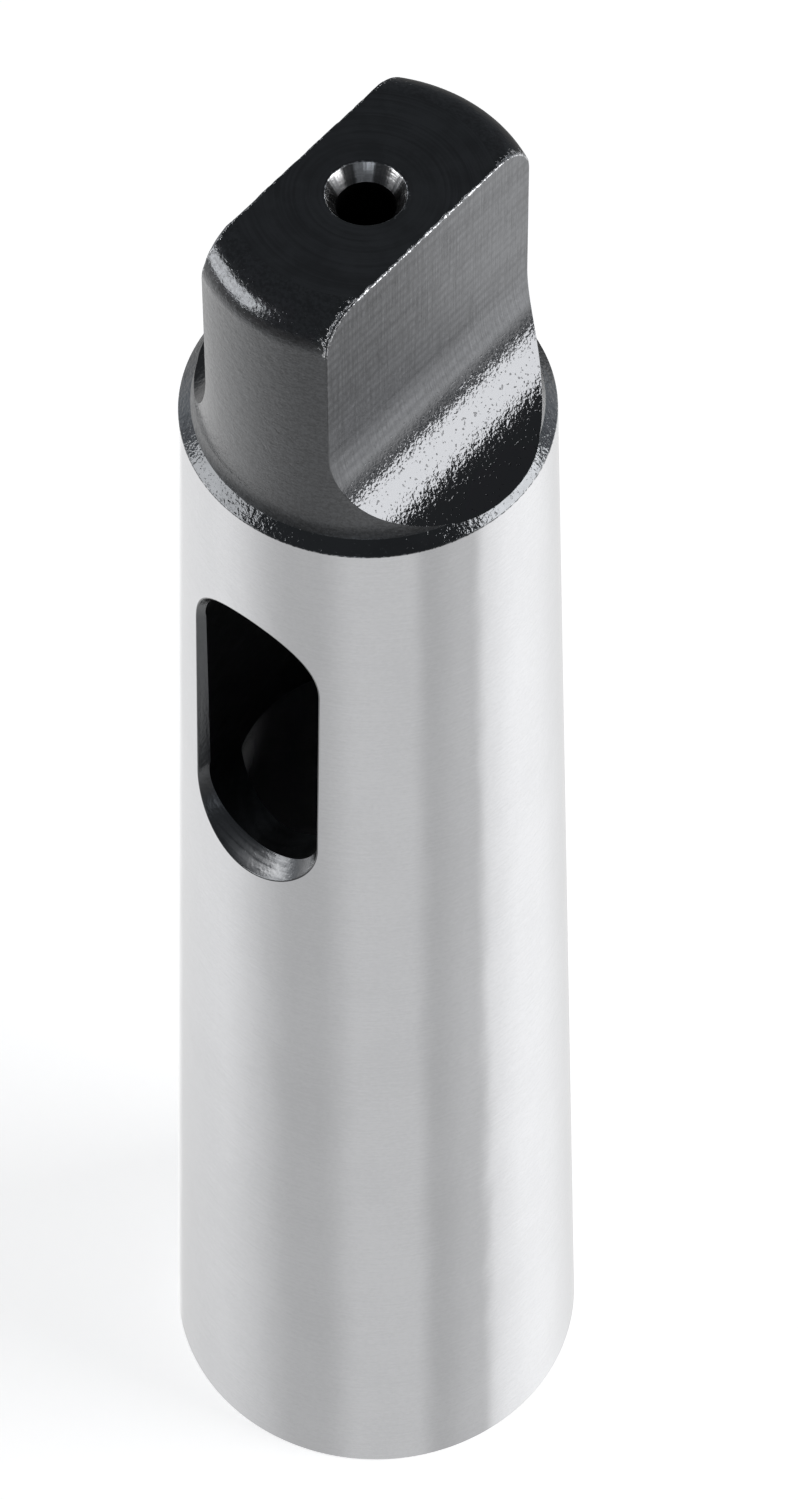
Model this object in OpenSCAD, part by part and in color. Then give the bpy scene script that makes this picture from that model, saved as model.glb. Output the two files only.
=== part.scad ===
// Morse taper sleeve: a taper shank outside and the next smaller taper socket inside, turned from one bar.
// Millimetres. The axis is Z, the large end stands on z = 0 and the tang points up.
// The slot and the wide way of the tang run along Y, and the tang's flats face along X.

/* [Outside taper] */
// Diameter of the outside taper at its gauge line
shank_gauge_d = 31.267; // [31:0.001:33]
// Height of the gauge line above the large end
shank_gauge_z = 22.5; // [10:0.5:30]
// Length over which the outside taper narrows by 1 mm in diameter
shank_taper_n = 19.254; // [18:0.001:21]
// Length of the ground taper, from the large end to the black shoulder
ground_l = 117; // [112:0.5:122]

/* [Tang] */
// Length from the shoulder to the end of the tang
tang_l = 23; // [20:0.5:28]
// Step from the rim of the ground taper in to the neck, on the radius
neck_step = 1.18; // [0.8:0.01:2]
// Thickness of the tang across its flats
tang_t = 10.9; // [9:0.1:13]
// Radius that the milled flats run out with at the foot of the tang
runout_r = 9; // [6:0.5:11]
// Height of the lowest point of the run-out above the rim of the ground taper
runout_rise = 0.3; // [0.1:0.1:1]
// Radius between the tang's end face and its round edges
tang_end_r = 3; // [1:0.1:4]
// Radius that the neck flares out with at its foot
foot_r = 3.5; // [1:0.1:6]
// How far the neck's foot flares out
foot_flare = 0.3; // [0.1:0.05:0.4]

/* [Centre hole] */
// Diameter of the centre hole at the end face
centre_d = 5.6; // [5:0.1:8]
// Diameter of the pilot drilling in the centre hole
pilot_d = 4.1; // [2.5:0.1:4.5]
// Depth of the pilot drilling below the end face
pilot_l = 7; // [5:0.5:10]
// Full angle of the centre hole's countersink
centre_angle = 60; // [55:1:90]

/* [Socket] */
// Diameter of the taper socket at its mouth
socket_d = 23.825; // [22:0.001:24.5]
// Length over which the socket narrows by 1 mm in diameter
socket_taper_n = 19.922; // [19:0.001:21]
// Diameter of the plain drilling past the small end of the socket
drill_d = 20.2; // [19.8:0.1:20.6]
// Depth of the plain drilling below the large end
drill_l = 84; // [80:0.5:90]
// Full angle of the drilling's point
drill_angle = 118; // [90:1:140]
// Width of the edge break around the mouth
mouth_break = 0.8; // [0.2:0.1:2]

/* [Drift slot] */
// Width of the slot between its walls
slot_w = 10.5; // [8:0.1:11.5]
// Height of the slot's lower end above the large end
slot_z = 77.5; // [74:0.1:79]
// Length of the slot between its round ends
slot_l = 28.1; // [24:0.1:31]
// Full angle of the flare around each mouth of the slot
flare_angle = 60; // [30:1:90]
// Depth of the flare's foot below the outside taper, at the slot's upper end
flare_depth = 1.28; // [0.5:0.01:2]

/* [Hidden] */
$fn = 96;

// Outside taper, from its gauge line down to the large end and up to the rim at the shoulder
body_d = shank_gauge_d + shank_gauge_z / shank_taper_n;
rim_d = body_d - ground_l / shank_taper_n;
sleeve_l = ground_l + tang_l;

// Neck and round edges of the tang, and the bevel at 45 degrees from the rim up to the neck's flared foot
neck_d = rim_d - 2 * neck_step;
foot_d = neck_d + 2 * foot_flare;
foot_z = ground_l + (rim_d - foot_d) / 2;
neck_z = foot_z + sqrt(foot_r * foot_r - pow(foot_r - foot_flare, 2));

// Socket: the depth at which the taper has come down to the plain drilling, and the drilling's point
socket_l = (socket_d - drill_d) * socket_taper_n;
point_l = drill_d / 2 / tan(drill_angle / 2);

// Run-out of the tang's flats
runout_x = tang_t / 2 + runout_r;
runout_z = ground_l + runout_rise + runout_r;

// Centre hole
sink_l = (centre_d - pilot_d) / 2 / tan(centre_angle / 2);
pilot_point_l = pilot_d / 2 / tan(drill_angle / 2);

// How far a cutter reaches past the face that it opens
past = 1;

// Slot, and the plane across it where its flare begins, with the flare carried out past the large end
slot_end_r = slot_w / 2;
slot_low = slot_z + slot_end_r;
slot_high = slot_z + slot_l - slot_end_r;
slot_top_d = body_d - (slot_z + slot_l) / shank_taper_n;
flare_y = slot_top_d / 2 - flare_depth;
flare_l = body_d / 2 - flare_y + past;
flare_w = flare_l * tan(flare_angle / 2);

// Half section of the outside: ground taper, bevel, flared foot, neck and rounded end
module outside_section() {
    difference() {
        union() {
            polygon([
                [0, 0],
                [body_d / 2, 0],
                [rim_d / 2, ground_l],
                [foot_d / 2, foot_z],
                [0, foot_z]
            ]);
            translate([0, ground_l])
                square([foot_d / 2, neck_z - ground_l]);
        }
        translate([neck_d / 2 + foot_r, neck_z])
            circle(r = foot_r);
        translate([foot_d / 2, foot_z])
            square([past, neck_z - foot_z]);
    }
    translate([0, ground_l])
        square([neck_d / 2, tang_l - tang_end_r]);
    translate([0, sleeve_l - 2 * tang_end_r])
        square([neck_d / 2 - tang_end_r, 2 * tang_end_r]);
    translate([neck_d / 2 - tang_end_r, sleeve_l - tang_end_r])
        circle(r = tang_end_r);
}

// What the milling of one flat takes away, seen along Y: the face of the flat and its round run-out
module flat_cut() {
    translate([tang_t / 2, runout_z])
        square([neck_d, tang_l]);
    translate([runout_x, runout_z - runout_r])
        square([neck_d, 2 * runout_r]);
    translate([runout_x, runout_z])
        circle(r = runout_r);
}

module flats() {
    for (side = [0, 180])
        rotate([0, 0, side])
            translate([0, neck_d, 0])
                rotate([90, 0, 0])
                    linear_extrude(height = 2 * neck_d)
                        flat_cut();
}

// Tapered socket, edge break at its mouth, plain drilling and the drilling's point
module socket() {
    translate([0, 0, -past])
        cylinder(
            h = socket_l + past,
            d1 = socket_d + past / socket_taper_n,
            d2 = drill_d
        );
    translate([0, 0, -past])
        cylinder(
            h = mouth_break + past,
            d1 = socket_d + 2 * (mouth_break + past),
            d2 = socket_d
        );
    translate([0, 0, socket_l])
        cylinder(h = drill_l - socket_l, d = drill_d);
    translate([0, 0, drill_l])
        cylinder(h = point_l, d1 = drill_d, d2 = 0);
}

// Slot right through both walls, with round ends
module slot() {
    translate([0, body_d, 0])
        rotate([90, 0, 0])
            linear_extrude(height = 2 * body_d) {
                translate([-slot_end_r, slot_low])
                    square([slot_w, slot_high - slot_low]);
                translate([0, slot_low])
                    circle(r = slot_end_r);
                translate([0, slot_high])
                    circle(r = slot_end_r);
            }
}

// Flare around one mouth of the slot: a cone at each round end, and straight sloping sides between them
module flare() {
    for (z = [slot_low, slot_high])
        translate([0, flare_y, z])
            rotate([-90, 0, 0])
                cylinder(h = flare_l, r1 = slot_end_r, r2 = slot_end_r + flare_w);
    translate([0, 0, slot_low])
        linear_extrude(height = slot_high - slot_low)
            polygon([
                [-slot_end_r, flare_y],
                [slot_end_r, flare_y],
                [slot_end_r + flare_w, flare_y + flare_l],
                [-slot_end_r - flare_w, flare_y + flare_l]
            ]);
}

// Centre hole in the tang's end: countersink, pilot drilling and its point
module centre_hole() {
    translate([0, 0, sleeve_l - sink_l])
        cylinder(
            h = sink_l + past,
            d1 = pilot_d,
            d2 = centre_d + 2 * past * tan(centre_angle / 2)
        );
    translate([0, 0, sleeve_l - pilot_l])
        cylinder(h = pilot_l, d = pilot_d);
    translate([0, 0, sleeve_l - pilot_l - pilot_point_l])
        cylinder(h = pilot_point_l, d1 = 0, d2 = pilot_d);
}

module sleeve() {
    color([0.72, 0.73, 0.74])
        difference() {
            rotate_extrude()
                outside_section();
            flats();
            socket();
            slot();
            flare();
            rotate([0, 0, 180])
                flare();
            centre_hole();
        }
}

sleeve();
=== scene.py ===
"""Looks of a Morse taper sleeve: ground taper outside, black tang with milled flats, slot through the wall.

The sleeve is one turned, milled and ground piece, so it is one closed mesh. Its surfaces are worked out in
millimetres from the same sizes as the CAD part, and become metres when the mesh is made.
Angles around the axis start at +X, where one of the tang's flats faces.
"""

import bpy
import numpy as np
from mathutils import Matrix, Vector


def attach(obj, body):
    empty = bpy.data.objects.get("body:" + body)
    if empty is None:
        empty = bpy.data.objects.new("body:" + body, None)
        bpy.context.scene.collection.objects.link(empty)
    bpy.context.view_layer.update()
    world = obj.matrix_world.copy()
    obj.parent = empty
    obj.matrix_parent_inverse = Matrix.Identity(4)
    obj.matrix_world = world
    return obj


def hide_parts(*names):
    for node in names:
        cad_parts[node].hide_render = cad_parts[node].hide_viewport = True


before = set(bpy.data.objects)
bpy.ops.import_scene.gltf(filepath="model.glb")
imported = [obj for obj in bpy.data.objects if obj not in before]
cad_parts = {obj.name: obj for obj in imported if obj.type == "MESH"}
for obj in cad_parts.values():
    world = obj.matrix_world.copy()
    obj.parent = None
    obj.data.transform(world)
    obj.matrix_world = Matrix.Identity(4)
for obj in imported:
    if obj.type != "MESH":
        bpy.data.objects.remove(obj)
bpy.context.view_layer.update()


def place(name, data):
    """A new object in the scene."""
    thing = bpy.data.objects.new(name, data)
    bpy.context.scene.collection.objects.link(thing)
    return thing


# ------------------------ sizes of the sleeve, in mm
BODY_R = (31.267 + 22.5 / 19.254) / 2       # ground taper at the large end
TAPER = 1 / (2 * 19.254)                    # its radius lost for each mm of height
RIM_Z = 117.0
NECK_STEP, FOOT_FLARE, FOOT_R = 1.18, 0.3, 3.5
END_Z, END_R = 140.0, 3.0                   # tang's end face, and the radius at its round edges
FLAT_X = 10.9 / 2                           # tang's flats from the axis
RUNOUT_R, RUNOUT_RISE = 9.0, 0.3
HOLE_R, PILOT_R, PILOT_DEPTH = 2.8, 2.05, 7.0
SINK_TAN = np.tan(np.radians(30))           # of half the countersink's angle
POINT_TAN = np.tan(np.radians(59))          # of half the angle of both drillings' points
SOCKET_R, SOCKET_TAPER = 23.825 / 2, 1 / (2 * 19.922)
DRILL_R, DRILL_Z = 10.1, 84.0
MOUTH_BREAK = 0.8
SLOT_R, SLOT_Z, SLOT_L = 5.25, 77.5, 28.1
# Where the flare meets the ground taper, from the slot's middle line, and where it ends, from the axis
# along Y: at the slot's low end, beside it at the bottom and at the top, and at its high end
MOUTH_LOW, MOUTH_SIDE, MOUTH_HIGH = 6.4, 5.6, 5.99
FLARE_LOW, FLARE_SIDE_LOW, FLARE_SIDE_HIGH, FLARE_HIGH = 12.47, 11.9, 11.76, 12.05

RIM_R = BODY_R - RIM_Z * TAPER
NECK_R = RIM_R - NECK_STEP
FOOT_Z = RIM_Z + RIM_R - NECK_R - FOOT_FLARE
NECK_Z = FOOT_Z + np.sqrt(FOOT_R ** 2 - (FOOT_R - FOOT_FLARE) ** 2)
ROUND_Z = END_Z - END_R                     # where the tang's rounded end begins
RUNOUT_X, RUNOUT_Z = FLAT_X + RUNOUT_R, RIM_Z + RUNOUT_RISE + RUNOUT_R
SOCKET_TOP = (SOCKET_R - DRILL_R) / SOCKET_TAPER
POINT_L = DRILL_R / POINT_TAN
SLOT_LOW, SLOT_HIGH = SLOT_Z + SLOT_R, SLOT_Z + SLOT_L - SLOT_R

# Roundings that handling and grinding leave on the edges
RIM_EDGE, FOOT_EDGE, FLAT_EDGE, SIDE_EDGE, SLOT_EDGE, HOLE_EDGE = 0.08, 0.12, 0.13, 0.07, 0.09, 0.08

RUBBED_HIGHLIGHT_AT, RUBBED_HIGHLIGHT_L = 3.6, 7                # rubbed patch in the socket, dulled so that it catches light as a painted highlight: its direction in radians, its height
FLARE_LEAN = 0.2                            # how far the flare's sides lean outward, as the photo shades them
CHIP = 0.17                                 # how much the largest chips widen the flats' top edges
SLIDE = 1.6                                 # height of the flats that makes room for them
BURR_WEAR = 0.47                            # wear beside the flats on the rounded end

# ------------------------ cells of the surfaces
ARC_CELLS = 150                             # half turn of the sleeve, and each round edge of the tang
FLAT_CELLS, CORNER_CELLS = 72, 4            # across a flat, and around each of its long edges
BURR_CELLS = 24                             # beside each of those edges
SLOT_HALF, SLOT_SIDE = 26, 24               # of the patch around the slot: half its width, its height
QUARTER_CELLS = 24                          # a quarter turn around the slot's round ends
SLOT_PATCH_Z = (72.0, 111.0)
HOLE_RING, HOLE_STEP = 4.4, 4               # inside this radius one cell is as wide as so many outside


# ------------------------ patches: points, normals, edge wear, finish
PATCHES = []


def add_patch(points, normals, finish, wear_and_highlight=0.0, closed=False, flip=False):
    """Keeps one grid of points with its normals. Its wear, with any painted highlight, is one number, one for
    each row, or a grid. closed joins the last column to the first."""
    wear_and_highlight = np.asarray(wear_and_highlight, float)
    wear_and_highlight = np.broadcast_to(wear_and_highlight[:, None] if wear_and_highlight.ndim == 1 else wear_and_highlight, points.shape[:2])
    PATCHES.append((points, normals, wear_and_highlight, finish, closed, flip))


def cells_of(rows, cols, closed, flip):
    """Corner numbers of every cell of a grid that is numbered row by row."""
    row, col = np.meshgrid(np.arange(rows - 1), np.arange(cols if closed else cols - 1), indexing="ij")
    right = (col + 1) % cols
    quad = np.stack([row * cols + col, row * cols + right,
                     (row + 1) * cols + right, (row + 1) * cols + col], -1).reshape(-1, 4)
    return quad[:, ::-1] if flip else quad


def line(start, end, cells):
    """Half section between two (radius, height) points: r, z and the normal to the left of the way."""
    t = np.linspace(0, 1, cells + 1)[:, None]
    start, end = np.array([start, end], float)
    way = (end - start) / np.linalg.norm(end - start)
    points = start + t * (end - start)
    return np.hstack([points, np.broadcast_to([way[1], -way[0]], points.shape)])


def rounded(before, corner, after, reach, cells=3):
    """Half section that rounds a corner: a quadratic curve, tangent to both sides, that starts and ends
    at the distance reach from the corner."""
    before, corner, after = np.array([before, corner, after], float)
    start = corner + reach * (before - corner) / np.linalg.norm(before - corner)
    end = corner + reach * (after - corner) / np.linalg.norm(after - corner)
    t = np.linspace(0, 1, cells + 1)[:, None]
    points = (1 - t) ** 2 * start + 2 * t * (1 - t) * corner + t ** 2 * end
    way = (1 - t) * (corner - start) + t * (end - corner)
    way /= np.linalg.norm(way, axis=1, keepdims=True)
    return np.hstack([points, np.stack([way[:, 1], -way[:, 0]], -1)])


def turned(section, angles):
    """Carries a half section around the axis: x = r cos a, y = r sin a, with the normals turned along."""
    r, z, out, up = section.T[:, :, None]
    c, s = np.cos(angles)[None], np.sin(angles)[None]
    points = np.stack([r * c, r * s, z + 0 * c], -1)
    normals = np.stack([out * c, out * s, up + 0 * c], -1)
    return points, normals


TURN = np.arange(2 * ARC_CELLS) * np.pi / ARC_CELLS


def add_turned(section, finish, wear_and_highlight=0.0, angles=TURN, closed=True):
    points, normals = turned(section, angles)
    add_patch(points, normals, finish, wear_and_highlight, closed)


# ------------------------ outside taper with its two slot mouths
def body_radius(z):
    return BODY_R - z * TAPER


def on_body(x, z):
    """Height of the ground taper's surface along Y above the point (x, z)."""
    return np.sqrt(body_radius(z) ** 2 - x ** 2)


def both_sides(right, mirror=1):
    """A whole loop from its right half, which goes up: the left half comes back down."""
    return np.concatenate([right, right[-2:0:-1] * mirror])


def slot_samples():
    """Goes once round the slot from its lowest point, towards +X first: the point of the slot's core line
    (a straight line up the middle) and the direction away from it, as (x, z). The straight side has
    samples where the drilling's point starts and where it leaves the slot's wall."""
    quarter = np.linspace(0, np.pi / 2, QUARTER_CELLS + 1)
    ear_z = DRILL_Z + POINT_L * (1 - SLOT_R / DRILL_R)
    side = np.concatenate([np.linspace(SLOT_LOW, DRILL_Z, 3)[1:], np.linspace(DRILL_Z, ear_z, 7)[1:],
                           np.linspace(ear_z, SLOT_HIGH, 21)[1:]])
    low = np.stack([np.sin(quarter), -np.cos(quarter)], -1)
    high = np.stack([np.cos(quarter), np.sin(quarter)], -1)[1:]
    core_z = np.concatenate([np.full(len(low), SLOT_LOW), side, np.full(len(high), SLOT_HIGH)])
    away = np.concatenate([low, np.tile([1.0, 0.0], (len(side), 1)), high])
    return both_sides(core_z), both_sides(away, [-1, 1])


CORE_Z, AWAY = slot_samples()
RIGHT_HALF = len(CORE_Z) // 2 + 1           # samples from the lowest point over +X to the highest


def mouth_edge():
    """Offset from the core line at which the flare meets the ground taper, and the flare's end along Y.
    Both change smoothly around the slot's round ends, and evenly up its straight sides."""
    low = CORE_Z <= SLOT_LOW + 1e-9
    end_share = np.abs(AWAY[:, 1])
    up = (CORE_Z - SLOT_LOW) / (SLOT_HIGH - SLOT_LOW)
    offset = MOUTH_SIDE + (np.where(low, MOUTH_LOW, MOUTH_HIGH) - MOUTH_SIDE) * end_share ** 1.5
    side = FLARE_SIDE_LOW + (FLARE_SIDE_HIGH - FLARE_SIDE_LOW) * up
    foot_y = side + (np.where(low, FLARE_LOW, FLARE_HIGH) - side) * np.sqrt(end_share)
    y = on_body(AWAY[:, 0] * offset, CORE_Z + AWAY[:, 1] * offset)
    return offset, y, foot_y


def slot_point(offset, y):
    """Point at an offset from the core line and a height along Y."""
    return np.stack([AWAY[:, 0] * offset, y + 0 * offset, CORE_Z + AWAY[:, 1] * offset], -1)


def facing_out(points, way):
    """Normals of a grid around the slot: across its rows and the way down from the mouth."""
    normals = np.cross(np.roll(points, -1, 1) - np.roll(points, 1, 1), way)
    lean = np.stack([-AWAY[:, 0], np.ones(len(AWAY)), -AWAY[:, 1]], -1)
    return normals * np.sign((normals * lean).sum(-1, keepdims=True))


def around_mouth(outer):
    """Ground taper around a mouth: straight lines, on the unrolled taper, from the edge of the mouth to a
    frame with straight sides. The rows lie closer together at the mouth."""
    corner = SLOT_HALF * np.pi / ARC_CELLS
    low_z, high_z = SLOT_PATCH_Z
    across = np.linspace(0, corner, SLOT_HALF + 1)
    up = np.linspace(low_z, high_z, SLOT_SIDE + 1)
    frame_a = both_sides(np.concatenate([across, np.full(SLOT_SIDE, corner), across[::-1][1:]]), -1)
    frame_z = both_sides(np.concatenate([np.full(SLOT_HALF + 1, low_z), up[1:], np.full(SLOT_HALF, high_z)]))
    outer_a = np.arctan2(outer[:, 0], outer[:, 1])
    t = np.linspace(0, 1, 9)[:, None] ** 1.3
    a = outer_a + t * (frame_a - outer_a)
    z = outer[:, 2] + t * (frame_z - outer[:, 2])
    r = body_radius(z)
    points = np.stack([r * np.sin(a), r * np.cos(a), z], -1)
    return points, np.stack([np.sin(a), np.cos(a), TAPER + 0 * a], -1)


def add_slot(side):
    """One mouth of the slot, on the side +1 or -1 of Y: the flat-sided patch of the taper around it, the
    rounded edge, the flare and the slot's wall in to the socket or to the middle."""
    def add(points, normals, finish, wear_and_highlight=0.0, flip=side > 0):
        add_patch(points * [1, side, 1], normals * [1, side, 1], finish, wear_and_highlight, True, flip)

    offset, y, foot_y = mouth_edge()
    edge, foot = slot_point(offset, y), slot_point(SLOT_R, foot_y)
    outer_x, _, outer_z = slot_point(offset + SLOT_EDGE, 0).T
    outer = np.stack([outer_x, on_body(outer_x, outer_z), outer_z], -1)
    inner = edge + SLOT_EDGE * (foot - edge) / np.linalg.norm(foot - edge, axis=1, keepdims=True)
    add(*around_mouth(outer), "ground steel", flip=side < 0)

    # Rounded edge: a quadratic curve from the taper over the sharp corner's place to the flare
    t = np.linspace(0, 1, 5)[:, None, None]
    points = (1 - t) ** 2 * outer + 2 * t * (1 - t) * edge + t ** 2 * inner
    add(points, facing_out(points, (1 - t) * (edge - outer) + t * (inner - edge)), "slot edge", 0.5)

    # Flare, rubbed at its low end, where it also gets a painted highlight, and the wall below it
    t = np.linspace(0, 1, 6)[:, None, None]
    points = inner + t * (foot - inner)
    normals = facing_out(points, np.broadcast_to(foot - inner, points.shape))
    normals /= np.linalg.norm(normals, axis=-1, keepdims=True)
    normals[..., 1] += FLARE_LEAN * AWAY[:, 0] ** 4
    # Rubbed steel and a painted highlight at the flare's low end, kept per corner
    rubbed_highlight = np.clip(-AWAY[:, 1], 0, 1)[None] ** 11 * np.array([0.4, 1.0, 1.0, 0.8, 0.4, 0.0])[:, None]
    add(points, normals, "slot flare", rubbed_highlight)
    t = np.linspace(0, 1, 10)[:, None, None]
    deep = foot.copy()
    deep[:, 1] = wall_depth(foot[:, 0], foot[:, 2])
    lean = np.stack([-AWAY[:, 0], np.zeros(len(AWAY)), -AWAY[:, 1]], -1)
    add(foot + t * (deep - foot), lean, "slot wall")


def bore_radius(z):
    """Radius of the socket's plain drilling, and of its point above the height where that begins."""
    return np.where(z <= DRILL_Z, DRILL_R, DRILL_R * (1 - (z - DRILL_Z) / POINT_L))


def wall_depth(x, z):
    """Height along Y at which the slot's wall comes out in the socket, or 0 where it goes right through."""
    return np.sqrt(np.maximum(bore_radius(z) ** 2 - x ** 2, 0) * (bore_radius(z) > np.abs(x) + 1e-9))


def add_bore_top():
    """The drilling's wall beside the slot, on both sides: rows at the heights of the slot's samples, each
    from one of the slot's walls to the other, so that the rows shrink to a point on the drilling's point."""
    half_x = AWAY[:RIGHT_HALF, 0] * SLOT_R
    z = CORE_Z[:RIGHT_HALF] + AWAY[:RIGHT_HALF, 1] * SLOT_R
    r = bore_radius(z)
    kept = (r >= half_x - 1e-9) & (z < SLOT_HIGH)
    half_x, z, r = half_x[kept], z[kept], r[kept]
    reach = np.arccos(np.clip(half_x / r, -1, 1))
    a = reach[:, None] * np.linspace(-1, 1, ARC_CELLS + 1)[None]
    point_row = int(np.argmin(np.abs(z - DRILL_Z)))
    for side in (1, -1):
        points = np.stack([side * r[:, None] * np.cos(a), side * r[:, None] * np.sin(a),
                           z[:, None] + 0 * a], -1)
        for rows, slope in ((slice(0, point_row + 1), 0.0), (slice(point_row, None), DRILL_R / POINT_L)):
            part = a[rows]
            normals = -np.stack([side * np.cos(part), side * np.sin(part), slope + 0 * part], -1)
            add_patch(points[rows], normals, "drilling", flip=True)


def add_body():
    """Socket from the slot down to the mouth, large end face, and the ground taper up to the bevel."""
    break_z = MOUTH_BREAK / (1 - SOCKET_TAPER)
    mouth, mouth_in = (SOCKET_R + MOUTH_BREAK, 0.0), (SOCKET_R + MOUTH_BREAK - break_z, break_z)
    add_turned(line((DRILL_R, SLOT_Z), (DRILL_R, SOCKET_TOP), 4), "drilling")
    below_top = (DRILL_R + RUBBED_HIGHLIGHT_L * SOCKET_TAPER, SOCKET_TOP - RUBBED_HIGHLIGHT_L)
    # Rubbed patch at the socket's small end: the steel is dulled there so that it catches light, a painted
    # highlight as well as wear
    rubbed_highlight = np.array([0.35, 0.75, 1.0, 1.0, 0.9, 0.6, 0.25, 0.0])[:, None]
    near = np.cos(2 * (TURN - RUBBED_HIGHLIGHT_AT)).clip(0, 1)[None] ** 6
    add_turned(line((DRILL_R, SOCKET_TOP), below_top, len(rubbed_highlight) - 1), "ground socket", rubbed_highlight * near)
    add_turned(line(below_top, mouth_in, 21), "ground socket")
    add_turned(line(mouth_in, mouth, 2), "end face", [0.8, 0.2, 0.6])
    face_edge = rounded(mouth, (BODY_R, 0.0), (body_radius(10), 10.0), FOOT_EDGE)
    add_turned(line(mouth, face_edge[0, :2], 10), "end face")
    add_turned(face_edge, "ground steel", [0.6, 1.0, 0.5, 0.0])
    low, high = ((body_radius(z), z) for z in SLOT_PATCH_Z)
    add_turned(line(face_edge[-1, :2], low, 24), "ground steel")
    # Between the two slot patches
    a = TURN[:ARC_CELLS + 1 - 2 * SLOT_HALF] + (SLOT_HALF - ARC_CELLS / 2) * np.pi / ARC_CELLS
    for turn in (0, np.pi):
        add_turned(line(low, high, SLOT_SIDE), "ground steel", 0.0, a + turn, False)
    rim_edge = rounded(high, (RIM_R, RIM_Z), (RIM_R - 1, RIM_Z + 1), RIM_EDGE)
    add_turned(line(high, rim_edge[0, :2], 4), "ground steel")
    add_turned(rim_edge, "rim edge", [1.0, 0.8, 0.5, 0.35])
    touch = (bevel_radius(touch_z()), touch_z())
    add_turned(line(rim_edge[-1, :2], touch, 3), "bevel", [0.35, 0.15, 0.0, 0.0])


# ------------------------ tang
def bevel_radius(z):
    return RIM_R - (z - RIM_Z)


def neck_radius(z):
    """Radius of the bevel, the flared foot, the neck and the rounded end at a height, and its slope."""
    foot_in = np.clip(NECK_Z - z, 0, None)
    foot = NECK_R + FOOT_R - np.sqrt(FOOT_R ** 2 - foot_in ** 2)
    end_in = np.clip(z - ROUND_Z, 0, END_R)
    end = NECK_R - END_R + np.sqrt(END_R ** 2 - end_in ** 2)
    radius = np.where(z < FOOT_Z, bevel_radius(z), np.where(z < NECK_Z, foot, end))
    root = np.sqrt(np.maximum(END_R ** 2 - end_in ** 2, 1e-9))
    slope = np.where(z < NECK_Z, -foot_in / np.sqrt(FOOT_R ** 2 - foot_in ** 2), -end_in / root)
    return radius, slope


def flat_depth(z):
    """Distance of a milled face from the axis at a height, and its slope: a circle for the run-out, the
    flat, and a small rounding at the end face."""
    low = np.clip(RUNOUT_Z - z, 0, RUNOUT_R * 0.9999)
    root = np.sqrt(RUNOUT_R ** 2 - low ** 2)
    top = np.clip(z - (END_Z - FLAT_EDGE), 0, FLAT_EDGE)
    x = RUNOUT_X - root - (FLAT_EDGE - np.sqrt(FLAT_EDGE ** 2 - top ** 2))
    slope = -low / root - top / np.sqrt(np.maximum(FLAT_EDGE ** 2 - top ** 2, 1e-9))
    return x, slope


def touch_z():
    """Height at which the run-out first cuts into the bevel, found by halving."""
    low, high = RIM_Z + RUNOUT_RISE + 1e-6, FOOT_Z
    for _ in range(60):
        middle = (low + high) / 2
        deeper = flat_depth(np.array(middle))[0] < bevel_radius(middle)
        low, high = (low, middle) if deeper else (middle, high)
    return low


def rough_line(count, seed, cells):
    """Uneven line from 0 to 1: random heights at a few places and at twice as many, joined by cosines."""
    rng = np.random.default_rng(seed)
    total = np.zeros(count)
    for share, step in ((0.6, cells), (0.4, cells * 2)):
        at = np.linspace(0, step, count)
        heights = rng.random(step + 2)
        low = at.astype(int)
        t = (1 - np.cos(np.pi * (at - low))) / 2
        total += share * (heights[low] * (1 - t) + heights[low + 1] * t)
    return total


def corner_edge(z):
    """Rounding of the flats' side edges: even up to the rounded end, and chipped there."""
    on_end = np.clip((z - ROUND_Z) / 1.2, 0, 1) * np.clip((END_Z - z) / 0.2, 0, 1)
    return SIDE_EDGE + on_end * (0.1 + 0.28 * rough_line(len(z), 21, len(z) // 2))


def tang_loop(z, radius, depth):
    """Once around the tang at each height: across the +X flat, over its edge, around +Y, and so on. Each
    edge is an arc that touches the flat and the round edge from inside. Gives x and y for each height and
    column, and the direction that the side faces."""
    depth = np.minimum(depth, radius)[:, None]
    radius = radius[:, None]
    edge = np.minimum(corner_edge(z)[:, None], (radius - depth) * 2)
    centre_x = depth - edge
    centre_y = np.sqrt(np.maximum((radius - edge) ** 2 - centre_x ** 2, 0))
    turn = np.arctan2(centre_y, centre_x)
    u = np.arange(FLAT_CELLS)[None] / FLAT_CELLS
    flat = (depth + 0 * u, centre_y * (2 * u - 1), 0 * u * turn)
    u = np.arange(CORNER_CELLS)[None] / CORNER_CELLS
    corner = (centre_x + edge * np.cos(turn * u), centre_y + edge * np.sin(turn * u), turn * u)
    a = turn + (np.pi - 2 * turn) * np.arange(ARC_CELLS)[None] / ARC_CELLS
    round_edge = (radius * np.cos(a), radius * np.sin(a), a)
    back = turn * (1 - u)
    corner_back = (-centre_x - edge * np.cos(back), centre_y + edge * np.sin(back), np.pi - back)
    x, y, face = (np.concatenate(parts, 1) for parts in zip(flat, corner, round_edge, corner_back))
    return np.hstack([x, -x]), np.hstack([y, -y]), np.hstack([face, face + np.pi])


ROUND_FIRST, ROUND_LAST = FLAT_CELLS + CORNER_CELLS, FLAT_CELLS + CORNER_CELLS + ARC_CELLS
HALF_LOOP = ROUND_LAST + CORNER_CELLS
CORNER_SHARE = np.arange(CORNER_CELLS) / CORNER_CELLS
# How far each column has turned from a flat, 0, to a round edge, 1
LOOP_SHARE = np.tile(np.concatenate([np.zeros(FLAT_CELLS), CORNER_SHARE, np.ones(ARC_CELLS),
                                     1 - CORNER_SHARE]), 2)


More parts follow.
